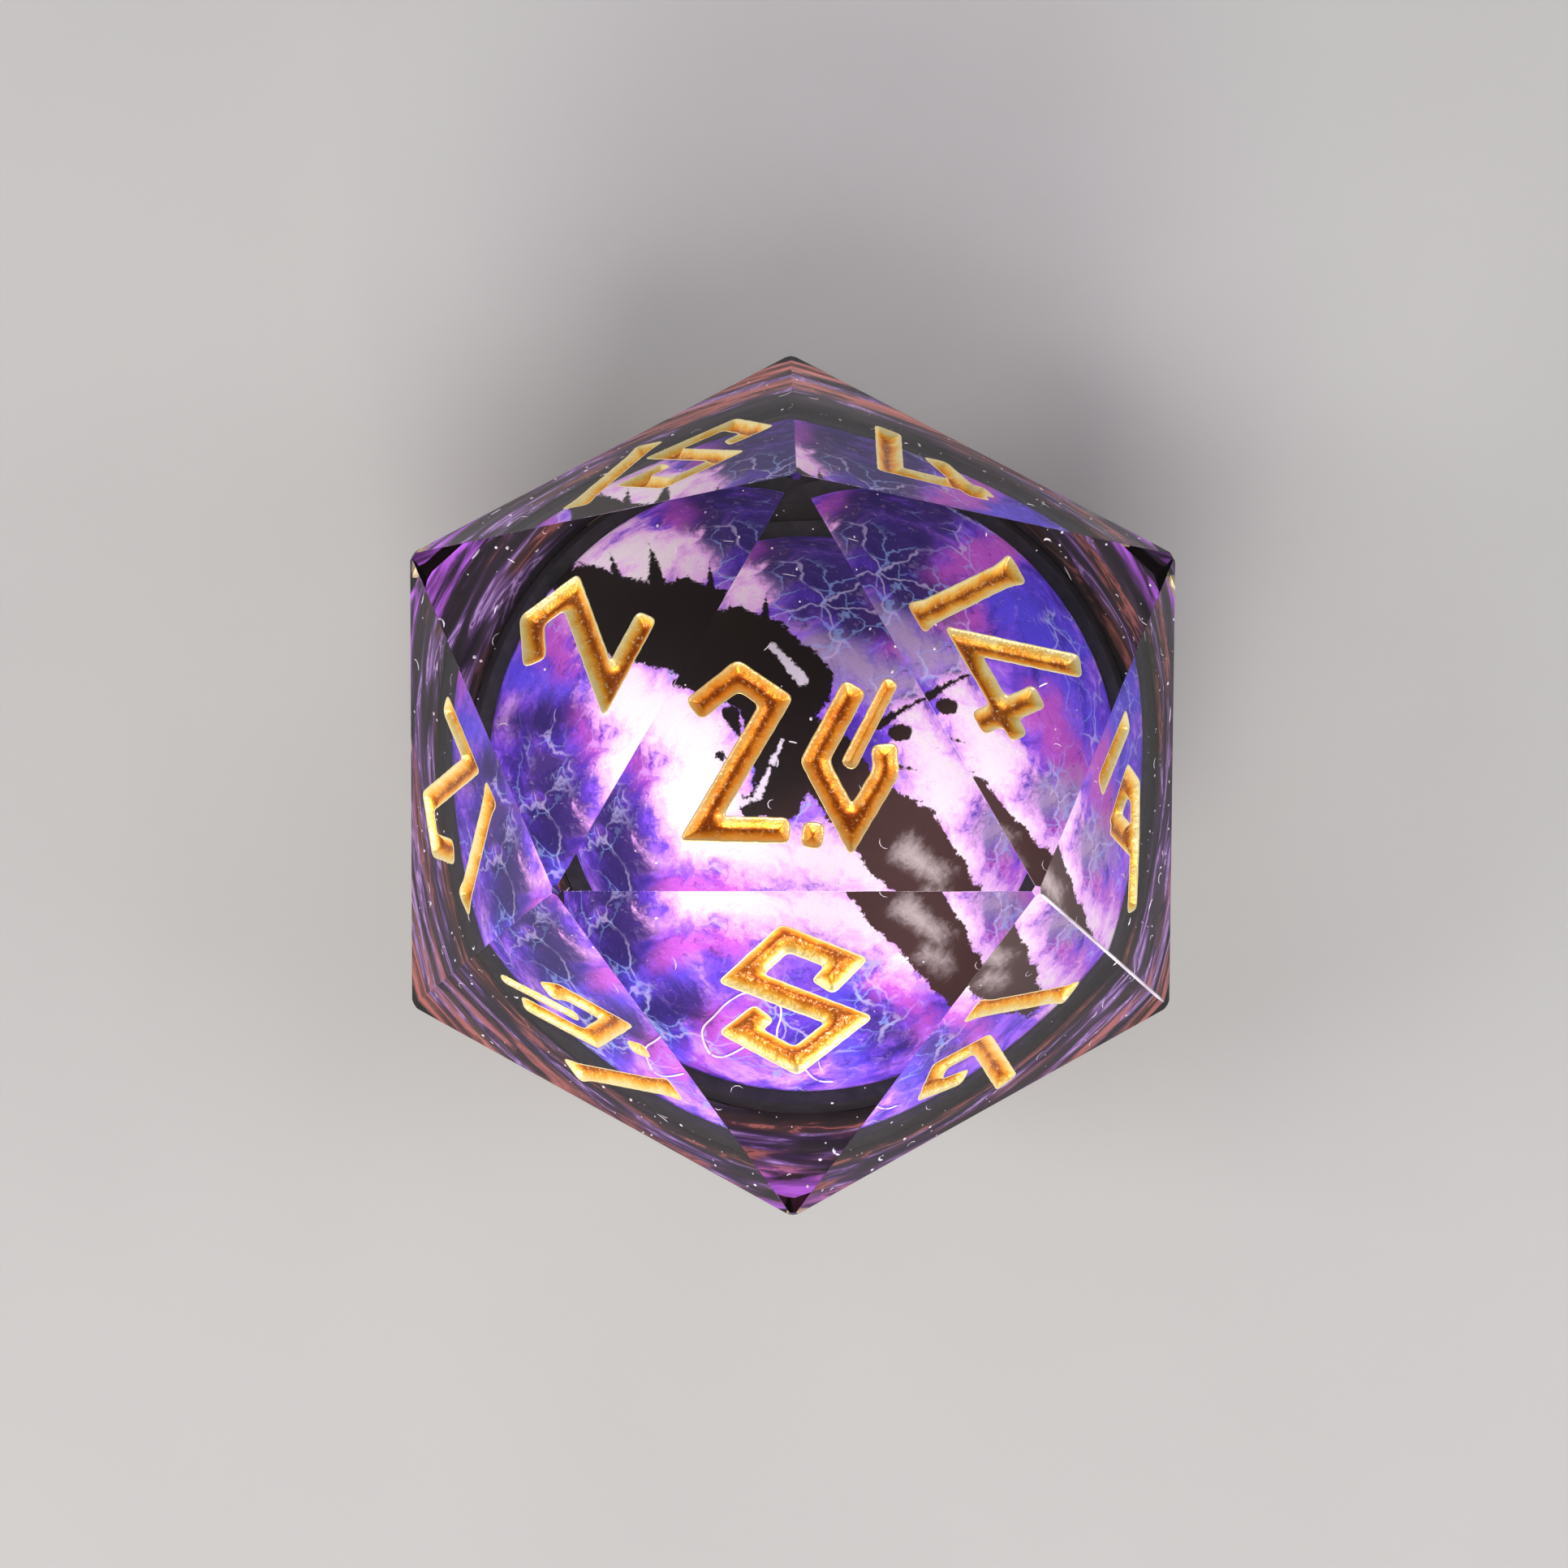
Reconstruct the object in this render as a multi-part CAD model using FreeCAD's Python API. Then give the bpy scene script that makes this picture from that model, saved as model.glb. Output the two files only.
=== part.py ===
import FreeCAD, Part

import itertools
import math
import os

# A twenty-sided die cast in two pours of resin. The first pour sets, a dark backing disc is laid on
# it with a half-ball wrapped in a printed picture on top, and the second pour covers them. The
# numerals are V-shaped grooves in the faces, filled with gold paint to just below the surface.
# Millimetres, +Z up. The origin is the centre of the face marked 1, on which the die rests.

# Driving dimensions
FACE_TO_FACE = 20.0            # across two opposite faces
CORNER_BLUNTING = 0.09         # how far each sharp corner is polished back
PARTING_HEIGHT = 7.2           # top of the first pour
BACKING_RADIUS = 7.2
BACKING_THICKNESS = 1.0
DOME_RADIUS = 6.75             # of the half-ball with the picture wrapped round it
PICTURE_THICKNESS = 0.2
INSERT_OFFSET = (0.35, -0.05)  # the disc and half-ball settled a little to one side of the die's axis

# Numerals
STROKE_HALF_WIDTH = 0.33
LONE_HALF_WIDTH = 0.37         # strokes of a digit that stands alone on its face
FLARED_HALF_WIDTH = 0.46       # at the two ends of a 1
SLASH_HALF_WIDTH = 0.19
DOT_HALF_WIDTH = 0.27
GROOVE_SLOPE = 1.1             # depth of the groove for each millimetre of half-width
DEEPEST_GROOVE = 1.0           # no groove reaches this deep
PAINT_RECESS = 0.05            # the paint's surface below the face
DIGIT_PLACES = (-1.6, 1.05)    # the middles of a numeral's two digits; a 1 is narrow
WIDE_DIGIT_PLACES = (-1.5, 1.5)

TOLERANCE = 1e-6               # lengths closer than this are the same
CUTTER_MARGIN = 1.0            # how far a cutting block runs past the die

GOLDEN_RATIO = (1 + math.sqrt(5)) / 2
INNER_RING = FACE_TO_FACE / GOLDEN_RATIO ** 2   # radius of the top and bottom corners
OUTER_RING = FACE_TO_FACE / GOLDEN_RATIO        # radius of the six corners between them
CENTRE = FreeCAD.Vector(0, 0, FACE_TO_FACE / 2)
UP = FreeCAD.Vector(0, 0, 1)

# The corners lie on four levels. A corner is named by its level and its direction in degrees.
LEVELS = {
    "top": (INNER_RING, FACE_TO_FACE, (90, 210, 330)),
    "upper": (OUTER_RING, OUTER_RING, (30, 150, 270)),
    "lower": (OUTER_RING, INNER_RING, (90, 210, 330)),
    "bottom": (INNER_RING, 0.0, (30, 150, 270)),
}

# The corners of ten faces. The top of each numeral points to its face's first corner.
# The opposite face of each has the opposite corners, and the two numbers add up to 21.
FACES = {
    20: (("top", 90), ("top", 210), ("top", 330)),
    2: (("upper", 150), ("top", 210), ("top", 90)),
    14: (("upper", 30), ("top", 90), ("top", 330)),
    8: (("upper", 270), ("top", 330), ("top", 210)),
    18: (("lower", 90), ("top", 90), ("upper", 150)),
    4: (("lower", 90), ("upper", 30), ("top", 90)),
    12: (("lower", 210), ("upper", 150), ("top", 210)),
    10: (("lower", 210), ("top", 210), ("upper", 270)),
    16: (("lower", 330), ("upper", 270), ("top", 330)),
    6: (("lower", 330), ("top", 330), ("upper", 30)),
}
FACE_SUM = 21
OPPOSITE_LEVEL = {"top": "bottom", "upper": "lower", "lower": "upper", "bottom": "top"}

# The centre lines of each digit's strokes, about the digit's own middle. Every digit is
# angular, about 4.3 mm high, and open where two strokes would run too close together.
DIGITS = {
    0: [[(0.1, 1.8), (-1.0, -0.25), (0.0, -2.15), (0.95, -0.55), (0.9, 0.2)]],
    2: [[(-1.3, 1.15), (-0.1, 2.1), (0.95, 1.4), (-1.1, -2.1), (1.3, -2.15)]],
    3: [[(-1.15, 1.45), (0.1, 2.1), (1.1, 1.2), (-0.15, 0.2), (1.2, -0.95), (0.0, -2.1),
         (-1.2, -1.45)]],
    4: [
        [(0.55, 2.05), (-1.5, -1.45), (1.55, -1.45)],
        [(0.78, 0.05), (0.7, -2.55)],
    ],
    5: [[(1.2, 2.05), (-0.75, 2.05), (-1.05, 0.3), (0.65, 0.4), (1.15, -0.95), (0.05, -2.1),
         (-1.2, -1.5)]],
    6: [[(0.4, -0.4), (0.75, -1.7), (-0.3, -2.1), (-1.0, -0.8), (1.1, 2.05)]],
    7: [[(-1.25, 1.35), (-1.0, 2.05), (1.2, 2.05), (-0.35, -2.2)]],
    8: [[(-0.75, -0.5), (-1.4, -1.35), (0.3, -2.2), (1.5, -0.8), (-1.5, 0.65), (-0.05, 2.1),
         (1.5, 1.05), (0.85, 0.4)]],
    9: [[(-0.4, 0.4), (-0.75, 1.7), (0.3, 2.1), (1.0, 0.8), (-1.1, -2.05)]],
}
# These digits are drawn in another way when they stand alone on a face.
LONE_DIGITS = {
    2: [[(-1.2, 1.25), (-0.2, 2.15), (1.0, 1.4), (-1.0, -1.7), (1.3, -1.6)]],
    4: [
        [(0.2, 2.25), (-1.95, -1.45), (1.35, -1.7)],
        [(0.7, 0.35), (0.55, -2.4)],
    ],
    6: [
        [(1.05, 2.65), (-0.05, 1.05), (-0.8, -0.25), (-0.45, -1.05), (1.15, -0.75)],
        [(1.05, -0.95), (0.1, 0.9)],
        [(-1.3, -2.6), (1.35, -2.6)],
    ],
    9: [
        [(-0.9, -1.6), (0.05, 0.2), (0.8, 1.3), (0.45, 2.1), (-1.15, 1.8)],
        [(-1.05, 2.0), (-0.1, 0.15)],
        [(-1.3, -2.6), (1.35, -2.6)],
    ],
}
ZERO_SLASH = [(1.1, 1.95), (-0.1, -0.4)]
ZERO_DOT = [(-1.0, -1.95), (-1.1, -2.6)]
ONE_STEM = (-2.6, 1.85)        # foot and head of a 1
ONE_FLARE = 0.6                # length of the flare at each end


def corner(name):
    level, degrees = name
    radius, height, _ = LEVELS[level]
    angle = math.radians(degrees)
    return FreeCAD.Vector(radius * math.cos(angle), radius * math.sin(angle), height)


def all_corners():
    names = [(level, degrees) for level in LEVELS for degrees in LEVELS[level][2]]
    return [corner(name) for name in names]


def face_corners(number):
    """The three corners of a numbered face, the first at the top of its numeral."""
    if number in FACES:
        return [corner(name) for name in FACES[number]]
    opposite = [(OPPOSITE_LEVEL[level], (degrees + 180) % 360)
                for level, degrees in FACES[FACE_SUM - number]]
    return [corner(name) for name in opposite]


def solid_from_polygons(polygons):
    faces = [Part.Face(Part.makePolygon(points + points[:1])) for points in polygons]
    solid = Part.Solid(Part.makeShell(faces))
    solid.fix(TOLERANCE, TOLERANCE, TOLERANCE)
    if solid.Volume < 0:
        solid.reverse()
    return solid


def make_body():
    """The whole die: an icosahedron with its sharp corners polished back a little."""
    corners = all_corners()
    edge = (corners[0] - corners[1]).Length
    triangles = [list(triple) for triple in itertools.combinations(corners, 3)
                 if all(abs((p - q).Length - edge) < TOLERANCE
                        for p, q in itertools.combinations(triple, 2))]
    radius = (corners[0] - CENTRE).Length - CORNER_BLUNTING
    polishing_ball = Part.makeSphere(radius, CENTRE)
    return solid_from_polygons(triangles).common(polishing_ball)


def unit(x, y):
    length = math.hypot(x, y)
    return x / length, y / length


def offset_point(path, index, half_width, side):
    """A corner of a stroke's outline: where the edges beside path[index] meet."""
    x, y = path[index]
    before = path[max(index - 1, 0)]
    after = path[min(index + 1, len(path) - 1)]
    into = unit(x - before[0], y - before[1]) if index else None
    out = unit(after[0] - x, after[1] - y) if index < len(path) - 1 else None
    into, out = into or out, out or into
    middle = unit(-into[1] - out[1], into[0] + out[0])
    reach = half_width / (middle[0] * -into[1] + middle[1] * into[0])
    return x + side * middle[0] * reach, y + side * middle[1] * reach


def make_stroke(path, half_widths):
    """One V-shaped stroke, sunk into the XY plane, with sloping ends."""
    last = len(path) - 1
    left, right = [[FreeCAD.Vector(*offset_point(path, i, half_widths[i], side), 0)
                    for i in range(last + 1)] for side in (1, -1)]
    keel = [FreeCAD.Vector(x, y, -GROOVE_SLOPE * half_width)
            for (x, y), half_width in zip(path, half_widths)]
    keel[0] = keel_end(path[0], path[1], half_widths[0], half_widths[1])
    keel[last] = keel_end(path[last], path[last - 1], half_widths[last], half_widths[last - 1])
    polygons = [left + right[::-1]]
    for i in range(last):
        polygons.append([left[i], left[i + 1], keel[i + 1], keel[i]])
        polygons.append([right[i], right[i + 1], keel[i + 1], keel[i]])
    polygons.append([left[0], right[0], keel[0]])
    polygons.append([left[last], right[last], keel[last]])
    return solid_from_polygons(polygons)


def keel_end(end, neighbour, end_half_width, next_half_width):
    """Where the bottom of the V stops: as far in from the stroke's end as the V is wide there."""
    length = math.dist(end, neighbour)
    narrowing = (end_half_width - next_half_width) / length
    inset = end_half_width / (1 + narrowing)
    x = end[0] + (neighbour[0] - end[0]) * inset / length
    y = end[1] + (neighbour[1] - end[1]) * inset / length
    return FreeCAD.Vector(x, y, -GROOVE_SLOPE * inset)


def digit_strokes(digit, drawings, half_width):
    """The digit's strokes, each as a path and the half-width at each of its points."""
    if digit == 1:
        foot, head = ONE_STEM
        path = [(0, foot), (0, foot + ONE_FLARE), (0, head - ONE_FLARE), (0, head)]
        return [(path, [FLARED_HALF_WIDTH, half_width, half_width, FLARED_HALF_WIDTH])]
    strokes = [(path, [half_width] * len(path)) for path in drawings[digit]]
    if digit == 0:
        strokes.append((ZERO_SLASH, [SLASH_HALF_WIDTH] * len(ZERO_SLASH)))
        strokes.append((ZERO_DOT, [DOT_HALF_WIDTH] * len(ZERO_DOT)))
    return strokes


def numeral_strokes(number):
    """The strokes of a whole numeral, about the middle of its face."""
    if number < 10:
        return digit_strokes(number, DIGITS | LONE_DIGITS, LONE_HALF_WIDTH)
    first, second = divmod(number, 10)
    places = DIGIT_PLACES if first == 1 else WIDE_DIGIT_PLACES
    return [([(x + place, y) for x, y in path], widths)
            for digit, place in zip((first, second), places)
            for path, widths in digit_strokes(digit, DIGITS, STROKE_HALF_WIDTH)]


def face_placement(number):
    """Puts a numeral drawn in the XY plane onto its face, upright and seen from outside."""
    points = face_corners(number)
    middle = (points[0] + points[1] + points[2]) * (1 / 3)
    outward = (middle - CENTRE).normalize()
    upright = (points[0] - middle).normalize()
    across = upright.cross(outward)
    matrix = FreeCAD.Matrix(
        across.x, upright.x, outward.x, middle.x,
        across.y, upright.y, outward.y, middle.y,
        across.z, upright.z, outward.z, middle.z,
        0, 0, 0, 1)
    return FreeCAD.Placement(matrix)


def make_numeral(number, recess):
    """The solids that fill a numeral's grooves to this far below the face."""
    strokes = [make_stroke(path, widths) for path, widths in numeral_strokes(number)]
    joined = strokes[0].multiFuse(strokes[1:]).removeSplitter() if strokes[1:] else strokes[0]
    filled = joined.common(make_slab(-DEEPEST_GROOVE, -recess))
    filled.Placement = face_placement(number)
    return filled.Solids


def insert_middle(height):
    """The point at this height on the upright axis shared by the disc and the half-ball."""
    return FreeCAD.Vector(INSERT_OFFSET[0], INSERT_OFFSET[1], height)


def make_disc(radius, bottom, thickness):
    return Part.makeCylinder(radius, thickness, insert_middle(bottom), UP)


def make_half_ball(radius, bottom):
    """The upper half of a ball, standing on its flat side."""
    return Part.makeSphere(radius, insert_middle(bottom), UP, 0, 90, 360)


def make_slab(bottom, top):
    """A block wider than the die, from one height to another."""
    width = 4 * OUTER_RING
    return Part.makeBox(width, width, top - bottom, FreeCAD.Vector(-width / 2, -width / 2, bottom))


def main():
    backing = make_disc(BACKING_RADIUS, PARTING_HEIGHT, BACKING_THICKNESS)
    dome_bottom = PARTING_HEIGHT + BACKING_THICKNESS
    dome = make_half_ball(DOME_RADIUS, dome_bottom)
    core = make_half_ball(DOME_RADIUS - PICTURE_THICKNESS, dome_bottom)

    numbers = range(1, FACE_SUM)
    grooves = [groove for number in numbers for groove in make_numeral(number, 0.0)]
    engraved = make_body().cut(grooves)

    nodes = {
        "lower_casting": engraved.common(make_slab(-CUTTER_MARGIN, PARTING_HEIGHT)),
        "upper_casting": engraved.common(make_slab(PARTING_HEIGHT, FACE_TO_FACE + CUTTER_MARGIN))
                                 .cut([backing, dome]),
        "backing_disc": backing,
        "dome_core": core,
        "picture_skin": dome.cut(core),
    }
    for number in numbers:
        nodes[f"numeral_paint_{number:02d}"] = Part.makeCompound(make_numeral(number, PAINT_RECESS))

    os.makedirs("parts", exist_ok=True)
    for name, shape in nodes.items():
        shape.exportStep(f"parts/{name}.step")
        print(name, len(shape.Solids), round(shape.Volume, 3), shape.isValid())


main()
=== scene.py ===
import itertools
import math
import random

import bmesh
import bpy
import numpy as np
from mathutils import Matrix, Vector, geometry, noise


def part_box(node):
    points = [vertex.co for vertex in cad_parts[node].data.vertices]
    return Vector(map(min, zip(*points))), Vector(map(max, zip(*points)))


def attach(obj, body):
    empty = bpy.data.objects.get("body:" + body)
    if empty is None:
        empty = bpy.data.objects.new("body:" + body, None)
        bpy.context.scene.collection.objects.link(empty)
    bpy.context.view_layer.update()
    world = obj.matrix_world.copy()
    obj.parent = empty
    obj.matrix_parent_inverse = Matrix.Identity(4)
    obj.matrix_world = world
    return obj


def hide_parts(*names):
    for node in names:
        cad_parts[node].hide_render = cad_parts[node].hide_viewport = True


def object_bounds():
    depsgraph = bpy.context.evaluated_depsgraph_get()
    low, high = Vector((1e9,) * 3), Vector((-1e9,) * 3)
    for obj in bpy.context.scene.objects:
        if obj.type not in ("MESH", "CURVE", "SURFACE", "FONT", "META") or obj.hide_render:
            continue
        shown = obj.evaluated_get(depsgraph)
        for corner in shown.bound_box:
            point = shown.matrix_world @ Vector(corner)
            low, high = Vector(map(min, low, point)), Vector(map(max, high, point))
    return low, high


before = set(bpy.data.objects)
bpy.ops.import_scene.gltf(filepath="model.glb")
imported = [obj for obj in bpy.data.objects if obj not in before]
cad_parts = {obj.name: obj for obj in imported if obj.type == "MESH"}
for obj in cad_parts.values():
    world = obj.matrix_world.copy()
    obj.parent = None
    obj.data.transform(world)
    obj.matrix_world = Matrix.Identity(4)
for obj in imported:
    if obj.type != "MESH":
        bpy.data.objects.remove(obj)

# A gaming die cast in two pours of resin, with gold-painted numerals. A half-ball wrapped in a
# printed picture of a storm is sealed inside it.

MM = 0.001
cad_low, cad_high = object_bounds()
FACE_TO_FACE = (cad_high.z - cad_low.z) / MM
GOLDEN_RATIO = (1 + math.sqrt(5)) / 2
INNER_RING = FACE_TO_FACE / GOLDEN_RATIO ** 2
OUTER_RING = FACE_TO_FACE / GOLDEN_RATIO
CENTRE = Vector((0, 0, FACE_TO_FACE / 2))
DOME_LOW, DOME_HIGH = (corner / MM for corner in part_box("picture_skin"))
BACKING_LOW, BACKING_HIGH = (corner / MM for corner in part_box("backing_disc"))
PARTING_HEIGHT = BACKING_LOW.z
DISC_MIDDLE = (BACKING_LOW + BACKING_HIGH) / 2
DOME_BASE = DOME_LOW.z
DOME_RADIUS = DOME_HIGH.z - DOME_LOW.z
DOME_MIDDLE = Vector((DISC_MIDDLE.x, DISC_MIDDLE.y, DOME_BASE))
BACKING_REACH = (BACKING_HIGH.x - BACKING_LOW.x) / 2

# Lengths are in millimetres from here on.

# The resin's outside
RESIN_INSET = 0.005        # its faces lie this far inside the CAD faces
SMOKE_INSET = 0.04         # the smoky first pour lies this far inside the die's skin
EDGE_BEVEL = 0.008         # the die is polished to sharp edges
CORNER_CUT = 0.10          # each corner is cut back by this much
CORNER_REACH = math.hypot(INNER_RING, FACE_TO_FACE / 2) - CORNER_CUT
SMALLEST_FLAT = 20         # the twenty faces are larger than this many square millimetres
WELD_DISTANCE = 1e-5       # points closer than this are the same point

# The numerals' grooves and paint
PAINT_RECESS = 0.05        # top of the CAD paint below its face
RECESS_TOLERANCE = 0.004
GROOVE_SLOPE = 1.1
CORNER_ROUNDING = 0.19     # how far from its corners an outline starts to curve
OUTLINE_STEP = 0.08
OUTLINE_WOBBLE = 0.014     # the paint's edge wanders this far from its outline
GRID_STEP = 0.055
PAINT_SKIN = 0.05          # thickness of the paint in its groove
PAINT_LIP = 0.03           # how far the paint laps onto the face
GRAIN_HEIGHT = 0.007
GRAIN_FADE = 0.08          # the grain dies away over this distance from the outline
PAINT_DEPTH = 0.27         # the deepest the painted trough gets
# MIDDLE_OF_STROKE also sets where the painted shade down a stroke is at its darkest.
MIDDLE_OF_STROKE = 0.36    # this far in from its outline, a stroke is at its deepest

# What is sealed in the resin
FILM_HEIGHT = 0.03         # the film of pigment lies this far above the first pour
FILM_GAP = 0.03            # between the backing disc and the film
FILM_INSET = 0.2           # it stops this far inside the die's skin
FILM_WAVE = 0.16           # the height of its waves
PRINT_THICKNESS = 0.18     # the printed film wrapped over the half-ball
HAIR_RADIUS = 0.032
SPECK_COUNT = 300
SPECKS_OVER_DOME = 0.2     # the share of the specks that lie close above the half-ball
LINT_SHARE = 0.28          # the share of the specks that are short threads
SPECK_INSET = 0.5          # specks keep this far from the die's skin
SPECK_GAP = 0.15           # and this far out from the backing disc
# A painted glint along one edge of the die.
BRIGHT_EDGE_RADIUS = 0.038
BRIGHT_EDGE_DEPTH = 0.06
BRIGHT_EDGE_TOP = Vector((6.6, -3.8, FACE_TO_FACE))       # the corners nearest to these
BRIGHT_EDGE_FOOT = Vector((10.7, -6.2, INNER_RING))       # points are the edge's two ends

# The camera, a long lens almost straight above the die and a little in front of it
CAMERA_AIM = CENTRE + Vector((-0.22, -0.07, 0))
CAMERA_ELEVATION = math.radians(85.32)
CAMERA_HEADING = math.radians(-8.18)
CAMERA_DISTANCE = 345.6
CAMERA_LENS = 282.3

# Each lamp's name, place, width, power in watts and colour
LAMPS = [
    ("key", (-50, -350, 270), 220, 1.75, (1.0, 0.97, 0.93)),
    ("left", (-340, -40, 210), 160, 0.55, (1.0, 0.97, 0.95)),
    ("right", (350, -60, 230), 180, 0.4, (0.95, 0.95, 1.0)),
]
FLOOR_RADIUS = 1400
FLOOR_DROP = 0.01          # the floor lies this far below the die
LIGHT_BOUNCES = 24


# The picture, across the half-ball as seen from above. Each bar is its start, its end and its
# radius at each.
BANK = [
    ((-4.1, 4.2), (-3.1, 3.3), 0.65, 1.05), ((-3.1, 3.3), (-1.8, 3.1), 1.05, 1.25),
    ((-1.8, 3.1), (-0.6, 2.3), 1.2, 1.15), ((-0.9, 3.4), (0.15, 2.2), 0.65, 0.8),
    ((-0.6, 2.3), (-0.25, 0.3), 1.05, 0.85), ((-0.25, 0.3), (-0.4, -0.9), 0.85, 0.65),
    ((-0.5, -0.95), (-1.2, -1.2), 0.45, 0.2), ((0.6, 0.3), (1.8, -1.2), 0.75, 0.85),
    ((1.8, -1.2), (3.0, -2.2), 0.85, 1.1), ((3.0, -2.2), (4.4, -3.8), 1.1, 0.8),
    ((4.4, -3.8), (5.0, -4.2), 0.7, 0.35),
]
TATTERS = [
    ((-4.0, 4.3), (-4.1, 5.1), 0.35, 0.0), ((-3.45, 4.2), (-3.42, 5.35), 0.3, -0.02),
    ((-2.4, 4.1), (-2.38, 5.6), 0.36, -0.02), ((-1.85, 4.1), (-1.75, 4.6), 0.22, -0.02),
    ((-0.85, 3.5), (-0.75, 5.0), 0.3, -0.02), ((0.3, 3.0), (0.9, 1.7), 0.24, 0.12),
    ((2.3, 1.05), (3.0, 1.5), 0.16, 0.1), ((3.0, 1.5), (3.65, 1.85), 0.1, 0.05),
    ((2.85, 0.85), (3.0, 0.85), 0.28, 0.26), ((2.9, -0.1), (3.5, -0.2), 0.09, 0.02),
    ((2.7, -0.95), (3.5, -1.05), 0.15, 0.04), ((-1.75, 1.35), (-1.55, 0.8), 0.28, 0.1),
    ((-2.05, 0.2), (-1.95, 0.0), 0.16, 0.06), ((-1.4, 0.3), (-1.1, -0.1), 0.05, 0.02),
]
FLECKS = [
    ((-0.6, 3.25), (0.2, 2.3), 0.12, 0.2), ((-1.0, -0.9), (-0.7, -0.2), 0.15, 0.08),
    ((-0.6, 0.0), (-0.35, 0.6), 0.12, 0.07), ((-1.5, -1.1), (-1.1, -1.0), 0.14, 0.08),
]
HAZE = [((3.2, -2.5), (3.9, -3.0), 0.4, 0.35), ((3.7, -3.6), (4.1, -3.7), 0.3, 0.25)]
FLASH = [
    ((-3.4, 1.3), (-2.7, 0.6), 0.6, 1.0), ((-2.7, 0.6), (-2.6, -1.6), 1.05, 0.95),
    ((-2.5, -1.4), (-0.8, -2.5), 0.75, 0.6), ((-0.8, -2.5), (1.6, -2.8), 0.6, 0.65),
    ((1.6, -2.8), (3.2, -3.9), 0.55, 0.3), ((3.6, 0.9), (4.1, -1.0), 0.55, 0.8),
    ((4.1, -1.0), (4.7, -2.8), 0.7, 0.35), ((5.5, -3.4), (5.9, -3.8), 0.35, 0.3),
    ((-4.2, 5.0), (-2.6, 5.2), 0.3, 0.55), ((-2.9, 4.6), (-2.1, 5.2), 0.4, 0.35),
    ((-3.9, 2.9), (-3.5, 2.6), 0.35, 0.3), ((-1.5, 4.6), (-1.2, 5.0), 0.25, 0.2),
]
INDIGO = [
    ((-0.6, 5.6), (1.6, 5.2), 0.7, 0.8), ((0.4, 4.4), (2.4, 4.0), 0.45, 0.55),
    ((-5.2, -0.8), (-4.7, -2.9), 0.6, 0.75), ((-5.9, 0.5), (-5.2, 0.6), 0.45, 0.45),
    ((-3.8, -4.7), (-2.7, -4.9), 0.5, 0.5), ((2.3, -5.6), (3.0, -5.7), 0.35, 0.35),
    ((-0.5, 6.4), (2.5, 6.2), 0.4, 0.5),
]
ROSE = [
    ((2.6, 4.5), (4.6, 5.8), 0.45, 0.55), ((5.6, 0.9), (6.2, -0.8), 0.5, 0.4),
    ((-5.2, 3.2), (-5.0, 2.2), 0.35, 0.3), ((-1.4, 5.9), (-1.0, 6.2), 0.4, 0.3),
    ((-3.4, -3.4), (-1.5, -3.4), 0.4, 0.35), ((-2.3, -5.4), (-1.4, -5.6), 0.45, 0.4),
    ((2.6, -4.6), (3.6, -5.2), 0.4, 0.4), ((2.6, 3.2), (3.6, 3.3), 0.35, 0.3),
    ((-4.6, 0.6), (-4.0, -0.4), 0.3, 0.3), ((5.6, -2.6), (6.0, -3.0), 0.35, 0.3),
]
BLUE = [
    ((4.4, 4.4), (6.2, 2.6), 0.6, 0.6), ((6.2, 2.4), (6.6, 0.2), 0.4, 0.35),
    ((-5.9, 1.9), (-5.0, 1.6), 0.5, 0.5), ((-3.3, -4.0), (-2.6, -4.2), 0.35, 0.35),
    ((1.2, -5.0), (1.6, -6.2), 0.5, 0.4), ((-4.8, -3.6), (-3.4, -5.8), 0.4, 0.4),
]
MIST = [
    ((0.6, 3.2), (2.6, 2.4), 0.5, 0.6), ((2.3, 2.2), (3.3, 2.3), 0.45, 0.45),
    ((-1.8, 4.9), (-0.8, 5.2), 0.5, 0.5), ((5.0, -2.0), (5.8, -1.6), 0.5, 0.5),
]

# The points that the trapped hair passes through
HAIR = [
    (-1.3, -6.1, 10.9), (-1.7, -6.2, 10.35), (-2.0, -6.2, 10.0), (-2.3, -6.1, 10.05),
    (-2.5, -5.8, 10.6), (-2.5, -5.55, 11.1), (-2.2, -5.35, 11.7), (-1.85, -5.1, 12.3),
    (-1.35, -4.9, 12.75), (-0.85, -5.0, 12.8), (-0.4, -5.25, 12.6), (-0.35, -5.55, 12.25),
    (-0.45, -5.85, 11.75), (-0.4, -6.1, 11.3), (-0.1, -6.4, 10.7), (0.35, -6.65, 10.1),
    (0.55, -6.75, 9.6), (0.8, -6.8, 9.3), (1.15, -6.8, 9.25),
]


# ---------------------------------------------------------------- geometry

def icosahedron_corners():
    levels = [
        (INNER_RING, FACE_TO_FACE, 90), (OUTER_RING, OUTER_RING, 30),
        (OUTER_RING, INNER_RING, 90), (INNER_RING, 0.0, 30),
    ]
    corners = []
    for radius, height, first in levels:
        for turn in range(3):
            angle = math.radians(first + 120 * turn)
            corners.append(Vector((radius * math.cos(angle), radius * math.sin(angle), height)))
    return corners


def new_object(name, bm, material, smooth=False):
    """A piece from a bmesh drawn in millimetres."""
    bmesh.ops.scale(bm, vec=(MM, MM, MM), verts=bm.verts)
    mesh = bpy.data.meshes.new(name)
    bm.to_mesh(mesh)
    bm.free()
    for polygon in mesh.polygons:
        polygon.use_smooth = smooth
    piece = bpy.data.objects.new(name, mesh)
    bpy.context.scene.collection.objects.link(piece)
    piece.data.materials.append(material)
    return piece


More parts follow.
